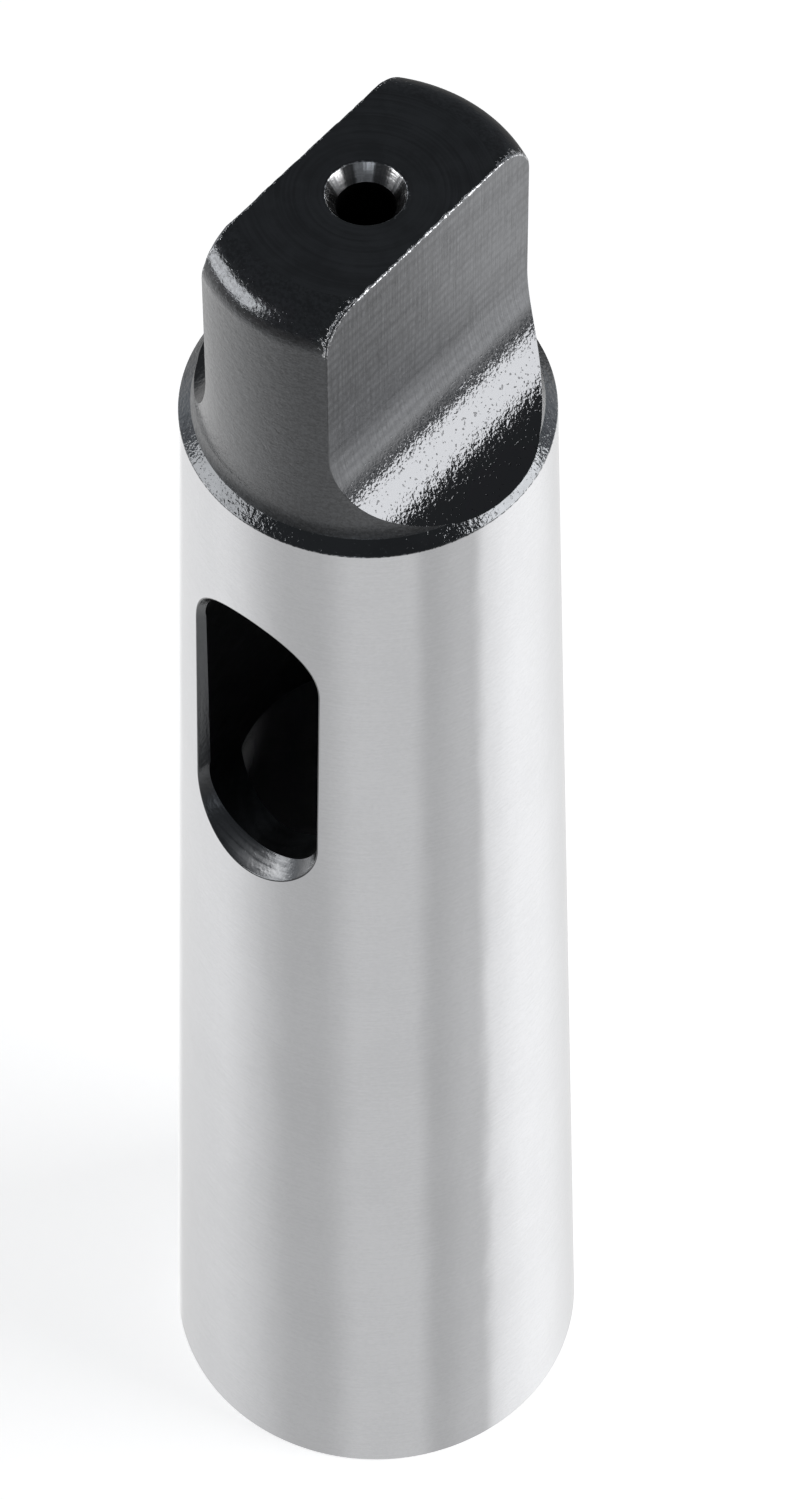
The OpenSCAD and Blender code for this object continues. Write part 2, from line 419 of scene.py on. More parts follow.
def beside_edge():
    """How near each column of the round edges is to a flat, where burrs reach over on the rounded end."""
    near = np.zeros(HALF_LOOP)
    near[ROUND_FIRST:ROUND_FIRST + BURR_CELLS] = BURR_WEAR * np.linspace(1, 0, BURR_CELLS)
    near[ROUND_LAST - BURR_CELLS + 1:ROUND_LAST] = BURR_WEAR * np.linspace(0, 1, BURR_CELLS)[:-1]
    near[ROUND_FIRST:ROUND_FIRST + 3], near[ROUND_LAST - 3:ROUND_LAST] = (1.0, 0.85, 0.65), (0.5, 0.65, 0.85)
    return np.tile(near, 2)


def ragged_top(x, z):
    """Burrs and small chips that milling left along the flats' top edges: there the edge's rounding grows
    and shrinks along the edge. The rows just below slide down the flat to make room. Gives the new heights
    and moves x in place."""
    z = z[:, None]
    z_all = z + 0 * x
    u = np.arange(FLAT_CELLS) / FLAT_CELLS
    fade = np.clip(np.sin(np.pi * u) * 12, 0, 1) * (0.75 + 0.3 * (2 * u - 1) ** 2)
    rounding = np.clip((z - (END_Z - FLAT_EDGE)) / FLAT_EDGE, 0, 1)
    below = np.clip((z - (END_Z - SLIDE)) / (SLIDE - FLAT_EDGE), 0, 1)
    for first, seed in ((0, 4), (HALF_LOOP, 9)):
        cols = slice(first, first + FLAT_CELLS)
        grown = fade * CHIP * np.clip(rough_line(FLAT_CELLS, seed, 26) * 1.7 - 0.75, -0.05, 1)
        z_all[:, cols] -= grown * np.where(rounding > 0, 1 - rounding, below)
        x[:, cols] -= np.sign(x[:1, cols]) * grown * (1 - np.sqrt(1 - rounding ** 2))
    return z_all


def tang_wear(x, z, share):
    """Wear of the tang's edges: the flats' long edges, more towards the end and on the rounded end, the
    burrs beside them there, and the top edges. The flat at the back is less worn."""
    z = z[:, None]
    on_end = np.clip((z - (ROUND_Z - 0.5)) / 0.7, 0, 1)
    high = 0.4 + 0.15 * np.clip((z - 128) / 8, 0, 1) + 0.6 * on_end
    wear_and_highlight = np.maximum(np.sqrt(1 - np.abs(2 * share - 1)) * high, 1.5 * on_end * beside_edge())
    top_edge = np.clip((z - (END_Z - FLAT_EDGE)) / FLAT_EDGE * 3, 0, 1)
    return np.maximum(wear_and_highlight, (1 - share) * top_edge) * np.where(x > 0, 1.0, 0.6)


def tang_heights():
    """Heights of the tang's sections, on the bevel and above it, closer together where it curves."""
    touch = touch_z()
    bevel = touch + (FOOT_Z - touch) * np.linspace(0, 1, 9) ** 1.6
    runout = RUNOUT_Z - RUNOUT_R * np.cos(np.linspace(0, np.pi / 2, 46))
    low = np.concatenate([np.linspace(FOOT_Z, NECK_Z, 9), runout[runout > FOOT_Z + 0.05], [RUNOUT_Z]])
    neck = np.linspace(RUNOUT_Z, ROUND_Z, 13)[1:]
    end = ROUND_Z + END_R * np.sin(np.radians(np.linspace(0, 90, 19)))
    end = end[(end > ROUND_Z + 1e-6) & (end < END_Z - FLAT_EDGE - 0.01)]
    top = END_Z - FLAT_EDGE + FLAT_EDGE * np.sin(np.radians(np.linspace(0, 90, 7)))
    return bevel, np.concatenate([np.unique(np.round(low, 6)), neck, end, top])


def add_tang():
    """The tang and its shoulder: sections at each height, joined from the bevel up to the end face."""
    share = LOOP_SHARE[None]
    for z, on_round in zip(tang_heights(), ("bevel", "neck")):
        radius, slope = (bevel_radius(z), np.full(len(z), -1.0)) if on_round == "bevel" else neck_radius(z)
        depth, flat_slope = flat_depth(z)
        x, y, face = tang_loop(z, radius, depth)
        z_all = z[:, None] + 0 * x if on_round == "bevel" else ragged_top(x, z)
        rise = -(share * slope[:, None] + (1 - share) * flat_slope[:, None])
        points = np.stack([x, y, z_all], -1)
        normals = np.stack([np.cos(face), np.sin(face), rise], -1)
        add_tang_parts(points, normals, tang_wear(x, z, share), on_round)
    return add_end_face(points[-1])


def add_tang_parts(points, normals, wear_and_highlight, on_round):
    """Splits the closed loop of the tang into its flats, with their edges, and its round edges."""
    starts = [0, ROUND_FIRST, ROUND_LAST, HALF_LOOP + ROUND_FIRST, HALF_LOOP + ROUND_LAST, 2 * HALF_LOOP]
    kinds = ["milled flat", on_round, "milled flat", on_round, "milled flat"]
    looped = [np.concatenate([grid, grid[:, :1]], 1) for grid in (points, normals, wear_and_highlight)]
    for first, last, finish in zip(starts[:-1], starts[1:], kinds):
        cut_points, cut_normals, cut_wear = (grid[:, first:last + 1] for grid in looped)
        add_patch(cut_points, cut_normals, finish, cut_wear)


def add_end_face(outline):
    """End face of the tang: straight lines from its outline to a circle, then the centre hole, which has
    fewer columns. Then the countersink, the pilot drilling and its point. Gives the points of the circle
    and of the first coarse circle inside it, to be joined."""
    a = np.arctan2(outline[:, 1], outline[:, 0])
    t = np.linspace(0, 1, 7)[:, None, None]
    circle = np.stack([HOLE_RING * np.cos(a), HOLE_RING * np.sin(a), np.full(len(a), END_Z)], -1)
    add_patch(outline + t * (circle - outline), np.array([0.0, 0.0, 1.0]), "end face", 0.0, True)
    coarse = a[::HOLE_STEP]
    sink_z = END_Z - (HOLE_R - PILOT_R) / SINK_TAN
    pilot_z = END_Z - PILOT_DEPTH
    rim = rounded((HOLE_RING, END_Z), (HOLE_R, END_Z), (PILOT_R, sink_z), HOLE_EDGE)
    inner = line((HOLE_RING - 0.25, END_Z), rim[0, :2], 3)
    add_turned(inner, "end face", [0, 0, 0.1, 0.5], coarse)
    add_turned(rim, "end face", [0.3, 0.6, 0.7, 0.8], coarse)
    add_turned(line(rim[-1, :2], (PILOT_R, sink_z), 6), "centre hole", 0.0, coarse)
    add_turned(line((PILOT_R, sink_z), (PILOT_R, pilot_z), 6), "pilot", 0.0, coarse)
    tip = (0.0, pilot_z - PILOT_R / POINT_TAN)
    add_turned(line((PILOT_R, pilot_z), tip, 3), "pilot", 0.0, coarse)
    return circle, turned(inner[:1], coarse)[0][0]


# ------------------------ one closed mesh
FINISHES = ["ground steel", "ground socket", "rim edge", "bevel", "neck", "milled flat", "end face",
            "centre hole", "pilot", "slot edge", "slot flare", "slot wall", "drilling"]


def same_place(points):
    """Points rounded to 0.00001 mm, and with no negative zero, so that the same place compares as equal."""
    return np.round(points, 5) + 0.0


def welded_mesh(name, fine, coarse):
    """Joins all patches: points that coincide become one, cells that shrank to a line are left out, and
    each face corner keeps its own patch's normal and wear, with any painted highlight. The fine circle is
    joined to the coarse one."""
    points, normals, wear_and_highlight, faces, finish = [], [], [], [], []
    count = 0
    for grid, normal, worn, kind, closed, flip in PATCHES:
        rows, cols = grid.shape[:2]
        quads = cells_of(rows, cols, closed, flip)
        points.append(grid.reshape(-1, 3))
        normals.append(np.broadcast_to(normal, grid.shape).reshape(-1, 3))
        wear_and_highlight.append(worn.reshape(-1))
        faces.append(quads + count)
        finish.append(np.full(len(quads), FINISHES.index(kind)))
        count += rows * cols
    points, normals, wear_and_highlight, faces, finish = map(np.concatenate, (points, normals, wear_and_highlight, faces, finish))
    _, first, same = np.unique(same_place(points), axis=0, return_index=True, return_inverse=True)
    same = same.reshape(-1)
    joined = same[faces]
    # A quad with two equal neighbours becomes a triangle, and one with two such pairs goes
    equal = joined == np.roll(joined, -1, 1)
    opposite = (joined[:, 0] == joined[:, 2]) | (joined[:, 1] == joined[:, 3])
    whole = ~equal.any(1) & ~opposite
    thin = (equal.sum(1) == 1) & ~opposite
    keep = (equal[thin].argmax(1)[:, None] + np.array([1, 2, 3])) % 4
    tris = np.take_along_axis(faces[thin], keep, 1)
    quads = faces[whole]
    fan = ring_faces(points[first], fine, coarse)
    fan_corners = sum(len(f) for f in fan)
    corners = np.concatenate([quads.reshape(-1), tris.reshape(-1)])
    corner_normals = np.concatenate([normals[corners], np.tile([0.0, 0.0, 1.0], (fan_corners, 1))])
    corner_normals /= np.linalg.norm(corner_normals, axis=1, keepdims=True)
    corner_wear = np.concatenate([wear_and_highlight[corners], np.zeros(fan_corners)])
    kinds = np.concatenate([finish[whole], finish[thin], np.full(len(fan), FINISHES.index("end face"))])
    mesh = bpy.data.meshes.new(name)
    mesh.from_pydata((points[first] * 0.001).tolist(), [], same[quads].tolist() + same[tris].tolist() + fan)
    mesh.polygons.foreach_set("material_index", kinds.astype(np.int32))
    mesh.polygons.foreach_set("use_smooth", np.ones(len(kinds), bool))
    # Per corner: edge wear, and the painted highlights on the slot's flares and in the socket
    worn = mesh.attributes.new("wear_and_highlight", "FLOAT", "CORNER")
    worn.data.foreach_set("value", corner_wear.astype(np.float32))
    mesh.normals_split_custom_set(corner_normals.tolist())
    mesh.update()
    return mesh


def ring_faces(points, fine, coarse):
    """Flat faces between a fine circle and a coarse one: each spans one coarse cell and its fine cells."""
    table = {tuple(p): i for i, p in enumerate(same_place(points).tolist())}
    outer, inner = ([table[tuple(p)] for p in same_place(circle).tolist()] for circle in (fine, coarse))
    return [[outer[(k * HOLE_STEP + j) % len(outer)] for j in range(HOLE_STEP + 1)]
            + [inner[(k + 1) % len(inner)], inner[k]] for k in range(len(inner))]


add_body()
add_slot(1)
add_slot(-1)
add_bore_top()
mesh = welded_mesh("sleeve_surface", *add_tang())
sleeve = place("sleeve_surface", mesh)


# ------------------------ short calls for node trees. An input takes a value or a wire
class Wire:
    """A value that runs through a node tree. A sum, difference, product or quotient is a Math node."""

    def __init__(self, tree, socket):
        self.tree, self.socket = tree, socket

    def __add__(self, other):
        return calc("ADD", self, other)

    def __sub__(self, other):
        return calc("SUBTRACT", self, other)

    def __rsub__(self, other):
        return calc("SUBTRACT", other, self)

    def __mul__(self, other):
        return calc("MULTIPLY", self, other)

    def __truediv__(self, other):
        return calc("DIVIDE", self, other)

    def __rtruediv__(self, other):
        return calc("DIVIDE", other, self)


def feed(node, inputs):
    """Gives a node's inputs, named or numbered, their values or wires."""
    for key, value in inputs.items():
        if isinstance(value, Wire):
            value.tree.links.new(value.socket, node.inputs[key])
        else:
            node.inputs[key].default_value = value


def add_node(tree, kind, inputs=None, output=0, **settings):
    """Adds a node with its inputs and settings, and gives the wire from one of its outputs."""
    node = tree.nodes.new(kind)
    for name, value in settings.items():
        setattr(node, name, value)
    feed(node, inputs or {})
    return Wire(tree, node.outputs[output])


def calc(operation, *values):
    tree = next(value.tree for value in values if isinstance(value, Wire))
    return add_node(tree, "ShaderNodeMath", dict(enumerate(values)), operation=operation)


def combine(x, y, z):
    return add_node(x.tree, "ShaderNodeCombineXYZ", {0: x, 1: y, 2: z})


def split(point):
    """The x, y and z of a point."""
    node = point.tree.nodes.new("ShaderNodeSeparateXYZ")
    feed(node, {0: point})
    return [Wire(point.tree, socket) for socket in node.outputs]


def length_of(x, y):
    return calc("SQRT", x * x + y * y)


def step_up(value, start, end, low=0.0, high=1.0):
    """Smooth step of a value, from low at start to high at end."""
    return add_node(value.tree, "ShaderNodeMapRange", {
        "Value": value, "From Min": start, "From Max": end, "To Min": low, "To Max": high},
        interpolation_type="SMOOTHSTEP")


def noise(point, scale=1.0, detail=2.0, roughness=0.5):
    return add_node(point.tree, "ShaderNodeTexNoise", {
        "Vector": point, "Scale": scale, "Detail": detail, "Roughness": roughness}, "Fac")


def stretch(point, *scale):
    return add_node(point.tree, "ShaderNodeMapping", {"Vector": point, "Scale": scale}, vector_type="POINT")


def mix_colour(share, one, other):
    return add_node(share.tree, "ShaderNodeMix", {"Factor": share, 6: one, 7: other}, 2, data_type="RGBA")


def mix_value(share, one, other):
    return add_node(share.tree, "ShaderNodeMix", {"Factor": share, 2: one, 3: other}, data_type="FLOAT")


def start_group(name, outputs, **numbers):
    """A shader node group that takes a point and numbers: its tree, a wire from each input, and the node
    that its outputs go to."""
    group = bpy.data.node_groups.new(name, "ShaderNodeTree")
    group.interface.new_socket("Point", in_out="INPUT", socket_type="NodeSocketVector")
    for label, value in numbers.items():
        label = label.replace("_", " ")
        socket = group.interface.new_socket(label, in_out="INPUT", socket_type="NodeSocketFloat")
        socket.default_value = value
    for label in outputs:
        group.interface.new_socket(label, in_out="OUTPUT", socket_type="NodeSocketFloat")
    inside = group.nodes.new("NodeGroupInput")
    wires = [Wire(group, inside.outputs[k]) for k in range(len(numbers) + 1)]
    return group, wires, group.nodes.new("NodeGroupOutput")


def use_group(group, point, **numbers):
    """Places a group in the point's tree and gives the wires from its outputs."""
    node = point.tree.nodes.new("ShaderNodeGroup")
    node.node_tree = group
    feed(node, {label.replace("_", " "): value for label, value in {"Point": point, **numbers}.items()})
    return [Wire(point.tree, socket) for socket in node.outputs]


# ------------------------ effects that several finishes share
def make_tool_marks():
    """Marks of turning or grinding that run around the axis: noise that changes fast along the section
    (height plus radius, so that it works on tapers and on end faces) and slowly around."""
    group, (point, pitch, wander), result = start_group("tool marks", ["Height"], Pitch=0.2, Wander=0.05)
    x, y, z = split(point)
    along = (length_of(x, y) + z) / pitch
    feed(result, {"Height": noise(combine(x * wander, y * wander, along), 1.0, 2.0, 0.6)})
    return group


def make_skin():
    """Scaly skin: a wide unevenness with fine grains on it, and pits where other grains pass a level."""
    group, (point, grain, level), result = start_group("skin", ["Height", "Pits"], Grain=0.2, Pit_Level=0.6)
    scale = 1.0 / grain
    grains = noise(point, scale, 1.0)
    wide = noise(point, scale * 0.36, 1.0)
    moved = add_node(group, "ShaderNodeVectorMath", {0: point, 1: (31.0, 17.0, 5.0)}, operation="ADD")
    pits = step_up(noise(moved, scale * 0.8, 1.0), level, level + 0.08)
    feed(result, {"Height": grains * 1.2 + wide * 1.8 - pits * 0.45, "Pits": pits})
    return group


def make_edge_wear():
    """Bare steel along edges, from the mesh's wear attribute, broken up by noise."""
    group, (point, wear_and_highlight, size, amount), result = start_group("edge wear", ["Mask"], Wear=0.0, Size=0.5,
                                                             Amount=0.5)
    share = (noise(point, 1.0 / size, 3.0, 0.6) - 0.5) * 2.2 + amount
    feed(result, {"Mask": step_up(wear_and_highlight * share, 0.32, 0.5)})
    return group


TOOL_MARKS, SKIN, EDGE_WEAR = make_tool_marks(), make_skin(), make_edge_wear()

STEEL, TURNED = (0.86, 0.866, 0.885, 1), (0.86, 0.86, 0.87, 1)
OXIDE = (0.083, 0.087, 0.093, 1)
BARE_EDGE = (0.6, 0.605, 0.62, 1)
# Rubbed steel at the flare's low end, which also paints its highlight there
RUBBED_HIGHLIGHT = (0.36, 0.363, 0.372, 1)
RUNOUT_SKIN, RUNOUT_PIT = (0.122, 0.124, 0.129, 1), (0.065, 0.066, 0.069, 1)
CHATTER_HIGHLIGHTS, LOBE_START = 7, -2.262       # painted highlights on the countersink, spaced like chatter marks, and their turn around the axis in radians, which puts one on the far wall from the camera
RIPPLE_PITCH = 0.874                        # of the mill's marks across the tang's flats, in mm


def shade_of(colour, share):
    return tuple(share * c for c in colour[:3]) + (1,)


def start_finish(name):
    """An empty metal material, with the point on the surface in mm and the attribute of wear and painted
    highlights.
    """
    material = bpy.data.materials.new(name)
    material.use_nodes = True
    tree = material.node_tree
    shader = tree.nodes["Principled BSDF"]
    shader.inputs["Metallic"].default_value = 1.0
    point = stretch(add_node(tree, "ShaderNodeTexCoord", output="Object"), 1000, 1000, 1000)
    wear_and_highlight = add_node(tree, "ShaderNodeAttribute", output="Fac", attribute_name="wear_and_highlight")
    return material, shader, point, wear_and_highlight


def dress(shader, colour, roughness, bumps, oil=()):
    """Feeds the shader its colour and roughness, a film of oil (weight, roughness), which makes it shine at
    a low angle, and a chain of Bump nodes: (height wire, depth in micrometres)."""
    feed(shader, {"Base Color": colour, "Roughness": roughness})
    feed(shader, dict(zip(("Coat Weight", "Coat Roughness"), oil)))
    normal = None
    for height, depth in bumps:
        inputs = {"Height": height, "Strength": 1.0, "Distance": depth * 1e-6}
        if normal:
            inputs["Normal"] = normal
        normal = add_node(height.tree, "ShaderNodeBump", inputs)
    feed(shader, {"Normal": normal, "Coat Normal": normal})


def ground_steel_finish(name, roughness, marks_depth, dulled=0.0):
    """Ground steel: very fine marks around the axis, faint speckle and wide blotches in its colour, and a
    slight unevenness that makes the edges of the reflections waver. dulled is how much of its metallic
    shine goes where the attribute of wear and painted highlights is high, so that a dull patch catches light
    as a painted highlight."""
    material, shader, point, wear_and_highlight = start_finish(name)
    blotch = noise(stretch(point, 0.16, 0.16, 0.07), 1.0, 3.0, 0.55)
    speckle = noise(stretch(point, 2.6, 2.6, 4.0), 1.0, 3.0, 0.8)
    marks = use_group(TOOL_MARKS, point, Pitch=0.12, Wander=0.3)[0]
    tint = blotch * 0.3 + (speckle * 0.45 + marks * 0.25)
    uneven = noise(stretch(point, 0.3, 0.3, 0.13), 1.0, 1.0)
    dress(shader, mix_colour(step_up(tint, 0.38, 0.62), shade_of(STEEL, 0.93), STEEL),
          mix_value(blotch, roughness - 0.03, roughness + 0.05),
          [(uneven, 45.0), (speckle, 1.2), (marks, marks_depth)])
    if dulled:
        feed(shader, {"Metallic": mix_value(wear_and_highlight, 1.0, 1.0 - dulled)})
    return material


def oxide_finish(name, roughness, oil=(1.0, 0.25), marks=(0.25, 2.0), skin=(0.3, 0.7, 10.0),
                 bare=(0.3, 0.5), tint=1.0, spread=0.15):
    """Black oxide on steel with a film of oil (weight, roughness): marks around the axis (pitch, depth), a
    scaly skin (grain, pit level, depth) and bare steel along edges (size, amount). spread is how far its
    tone goes either way. Depths are in micrometres."""
    material, shader, point, wear_and_highlight = start_finish(name)
    scales = use_group(SKIN, point, Grain=skin[0], Pit_Level=skin[1])[0]
    lines = use_group(TOOL_MARKS, point, Pitch=marks[0], Wander=0.1)[0]
    worn = use_group(EDGE_WEAR, point, Wear=wear_and_highlight, Size=bare[0], Amount=bare[1])[0]
    blotch = noise(stretch(point, 0.5, 0.5, 0.9), 1.0, 3.0, 0.6)
    base = mix_colour(step_up(blotch * 0.5 + lines * 0.5, 0.35, 0.65),
                      shade_of(OXIDE, (1 - spread) * tint), shade_of(OXIDE, (1 + spread) * tint))
    dress(shader, mix_colour(worn, base, BARE_EDGE), mix_value(lines, roughness - 0.05, roughness + 0.05),
          [(lines, marks[1]), (scales, skin[2])], oil)
    return material


def neck_finish(name):
    """Neck and round edges of the tang: turned and oxidised, with fine streaks around it. Its rounded end
    is smoother between coarse pits."""
    material, shader, point, wear_and_highlight = start_finish(name)
    on_end = step_up(split(point)[2], ROUND_Z - 0.4, ROUND_Z + 0.5)
    scales = use_group(SKIN, point, Grain=0.2, Pit_Level=0.63)[0]
    streaks = noise(stretch(point, 1.1, 1.1, 5.5), 1.0, 4.0, 0.7)
    marks = use_group(TOOL_MARKS, point, Pitch=0.3, Wander=0.1)[0]
    worn = use_group(EDGE_WEAR, point, Wear=wear_and_highlight, Size=0.25, Amount=0.5)[0]
    tone = streaks * 0.4 + noise(point, 4.0, 2.0, 0.8) * 0.6
    base = mix_colour(step_up(tone, 0.38, 0.62), shade_of(OXIDE, 0.7), shade_of(OXIDE, 1.3))
    rough_part = calc("MAXIMUM", mix_value(on_end, 0.85, 0.9), worn * 6.0)
    dress(shader, mix_colour(worn, base, BARE_EDGE), mix_value(on_end, 0.36, 0.16),
          [(marks, 3.0), (streaks, 6.0), (scales * rough_part, 13.0)], (1.0, 0.16))
    return material


def milled_flat_finish(name):
    """The tang's flats, oxidised: fine lines of the cutter up the flat and faint ripples across it, a
    greyer tone towards +Y on the one and -Y on the other, and on the run-out a glossy skin of grains and
    pits, with bands where the cutter left it. Bare steel shows along the edges."""
    material, shader, point, wear_and_highlight = start_finish(name)
    x, y, z = split(point)
    on_runout = step_up(z, RUNOUT_Z - 2.4, RUNOUT_Z - 4.2)
    lines = noise(stretch(point, 0.0, 4.4, 0.2), 1.0, 2.0, 0.7)
    drift = noise(stretch(point, 0.0, 0.4, 0.5), 1.0, 1.0)
    ripples = calc("SINE", z * (2 * np.pi / RIPPLE_PITCH) + drift * 3.0)
    weave = ripples * 0.06 + (lines - 0.5) * (ripples * 0.45 + 0.65)
    bands = noise(stretch(point, 0.0, 0.05, 0.75))
    grit = noise(point, 3.2, 3.0, 0.75)
    scales, pits = use_group(SKIN, point, Grain=0.19, Pit_Level=0.65)
    worn = use_group(EDGE_WEAR, point, Wear=wear_and_highlight, Size=0.3, Amount=0.5)[0]
    ahead = y * calc("SIGN", x)
    tone = mix_value(step_up(z, 133.0, 126.0), step_up(ahead, -9.5, 9.5),
                     step_up(ahead, -9.5, 9.5, 0.42, 0.95))
    # Painted light that lifts the shade on the flat just above the run-out, towards -Y on the +X flat and +Y
    # on the other
    foot = step_up(z, RUNOUT_Z + 1.2, RUNOUT_Z - 0.6) * step_up(ahead, 4.0, -4.0)
    tone = tone + weave * 2.4 + (bands - 0.5) * 1.2 + foot * 0.45 + (grit - 0.5) * 1.3
    level = calc("MAXIMUM", calc("MINIMUM", tone, 1.3), -0.4) * 0.082 + 0.118
    flat_base = add_node(level.tree, "ShaderNodeCombineColor", {0: level, 1: level * 1.02, 2: level * 1.06})
    base = mix_colour(on_runout, flat_base, mix_colour(pits, RUNOUT_SKIN, RUNOUT_PIT))
    flat_part = 1.0 - on_runout
    rough_part = calc("MAXIMUM", mix_value(on_runout, 0.5, 1.0), worn * 2.5)
    dress(shader, mix_colour(worn, base, BARE_EDGE), mix_value(on_runout, 0.42, 0.1),
          [(lines * flat_part, 28.0), (ripples * flat_part, 1.5), (scales * rough_part, 18.0)])
    return material


def flare_finish(name):
    """Flare around the slot's mouths: oxidised, with fine rings from the cutter, and rubbed brighter where
    the attribute of wear and painted highlights is high, which paints the highlight at the slot's low end.
    The rings keep their distance from the slot's middle line."""
    material, shader, point, wear_and_highlight = start_finish(name)
    x, _, z = split(point)
    from_middle = length_of(x, z - calc("MINIMUM", calc("MAXIMUM", z, SLOT_LOW), SLOT_HIGH))
    rings = noise(combine(x * 0.12, from_middle / 0.16, z * 0.12), 1.0, 2.0, 0.6)
    scales = use_group(SKIN, point, Grain=0.2, Pit_Level=0.68)[0]
    share = wear_and_highlight * step_up(rings + (noise(point, 1.4, 2.0, 0.6) - 0.5) * 0.5, 0.25, 0.6)
    dress(shader, mix_colour(share, OXIDE, RUBBED_HIGHLIGHT), mix_value(wear_and_highlight, 0.26, 0.4),
          [(rings, 9.0), (scales, 9.0)], (1.0, 0.22))
    return material


def centre_hole_finish(name):
    """Bare turned steel: marks around the axis, lobes of painted highlight with painted shade between them,
    spaced like chatter marks and brightest on the far wall from the camera, and streaks down the wall."""
    material, shader, point, _ = start_finish(name)
    x, y, _ = split(point)
    radius = length_of(x, y)
    # Painted highlights and painted shade in the colour, in lobes around the axis
    highlight_lobes = calc("COSINE", (calc("ARCTAN2", y, x) + LOBE_START) * CHATTER_HIGHLIGHTS)
    streaks = noise(combine(x / radius, y / radius, 0.3), 6.0, 2.0, 0.6)
    marks = use_group(TOOL_MARKS, point, Pitch=0.14, Wander=0.5)[0]
    tone = step_up(highlight_lobes * 0.26 + streaks + marks * 0.5, 0.55, 0.9)
    dress(shader, mix_colour(tone, shade_of(TURNED, 0.22), TURNED), mix_value(marks, 0.16, 0.28),
          [(streaks, 50.0), (marks, 8.0)])
    return material


finishes = {
    "ground steel": ground_steel_finish("ground_taper", 0.1, 1.8),
    # The socket's dull patch is a painted highlight as well as rubbing
    "ground socket": ground_steel_finish("ground_socket", 0.2, 5.0, 1.0),
    "rim edge": oxide_finish("rim_edge", 0.2, bare=(0.25, 0.55)),
    "bevel": oxide_finish("shoulder_bevel", 0.14, (1.0, 0.12), (0.3, 2.0), (0.2, 0.63, 21.0), (0.25, 0.6),
                          tint=0.93),
    "neck": neck_finish("neck_oxide"),
    "milled flat": milled_flat_finish("milled_flats"),
    "end face": oxide_finish("end_face_oxide", 0.2, (1.0, 0.15), (0.17, 8.0), (0.2, 0.68, 6.0), (0.3, 0.5),
                             spread=0.25),
    "centre hole": centre_hole_finish("centre_hole_steel"),
    "pilot": oxide_finish("pilot_drilling", 0.4, (0.3, 0.3), (0.3, 6.0), tint=0.5),
    "slot edge": oxide_finish("slot_edge", 0.25, (1.0, 0.25), bare=(0.5, 0.22)),
    "slot flare": flare_finish("slot_flare"),
    "slot wall": oxide_finish("slot_wall", 0.35, (0.5, 0.35), (0.5, 4.0), (0.3, 0.64, 12.0)),
    "drilling": oxide_finish("drilling_oxide", 0.4, (0.3, 0.35), (0.4, 10.0), (0.3, 0.66, 10.0)),
}
for kind in FINISHES:
    mesh.materials.append(finishes[kind])
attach(sleeve, "root")
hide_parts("sleeve")


# ------------------------ camera, at the photograph's viewing angle
AZIMUTH, ELEVATION, ROLL = np.radians([39.595, 54.4926, -0.2428])
LENS = 180.435                              # mm, on Blender's 36 mm sensor along the picture's height
BASE_AT = (-1.8602, -44.0971, -616.228)     # sleeve's base in the camera's own frame, in mm

toward = np.array([np.sin(AZIMUTH) * np.cos(ELEVATION),
                   -np.cos(AZIMUTH) * np.cos(ELEVATION), np.sin(ELEVATION)])
level = np.array([np.cos(AZIMUTH), np.sin(AZIMUTH), 0.0])
upward = np.cross(toward, level)
side_way = level * np.cos(ROLL) + upward * np.sin(ROLL)
top_way = upward * np.cos(ROLL) - level * np.sin(ROLL)
axes = np.stack([side_way, top_way, toward], 1)
camera = place("camera", bpy.data.cameras.new("camera"))
camera.data.lens = LENS
camera.data.clip_start = 0.02
camera.matrix_world = Matrix.Translation(Vector(-axes @ np.array(BASE_AT) * 0.001)) @ \
    Matrix(axes.tolist()).to_4x4()
bpy.context.scene.camera = camera


# ------------------------ studio
FACING = float(np.arctan2(toward[1], toward[0]))   # direction of the camera, around the axis
LAMP_DISTANCE, LAMP_AIM = 0.8, Vector((0, 0, 0.08))
FLOOR_HALF, FLOOR_DROP = 6.0, 0.0001        # half the floor's width, and how far it lies below the sleeve
COVERED_R = 0.0125                          # radius of the floor that the sleeve covers


def add_softbox(name, around, height, size, radiance):
    """A square lamp that faces the sleeve. around is its direction from the camera's, to the right, and
    height its elevation, in degrees; size is its width and height in degrees too."""
    a, e = FACING + np.radians(around), np.radians(height)
    way = Vector((np.cos(a) * np.cos(e), np.sin(a) * np.cos(e), np.sin(e)))
    width, tall = (2 * LAMP_DISTANCE * np.tan(np.radians(s / 2)) for s in size)
    lamp = bpy.data.lights.new(name, "AREA")
    lamp.shape, lamp.size, lamp.size_y = "RECTANGLE", width, tall
    lamp.energy = radiance * np.pi * width * tall
    box = place(name, lamp)
    turn = way.to_track_quat("Z", "Y").to_matrix().to_4x4()
    box.matrix_world = Matrix.Translation(LAMP_AIM + LAMP_DISTANCE * way) @ turn
    box.visible_camera = False


add_softbox("softbox_right", 82, 20, (40, 33), 5.3)
add_softbox("softbox_left", -85, 16, (42, 29), 3.2)


def card(value, rise_from, rise_to, fall_from, fall_to, level=1.0):
    """A band of directions, with soft edges."""
    return step_up(value, rise_from, rise_to) * step_up(value, fall_from, fall_to, 1.0, 0.0) * level


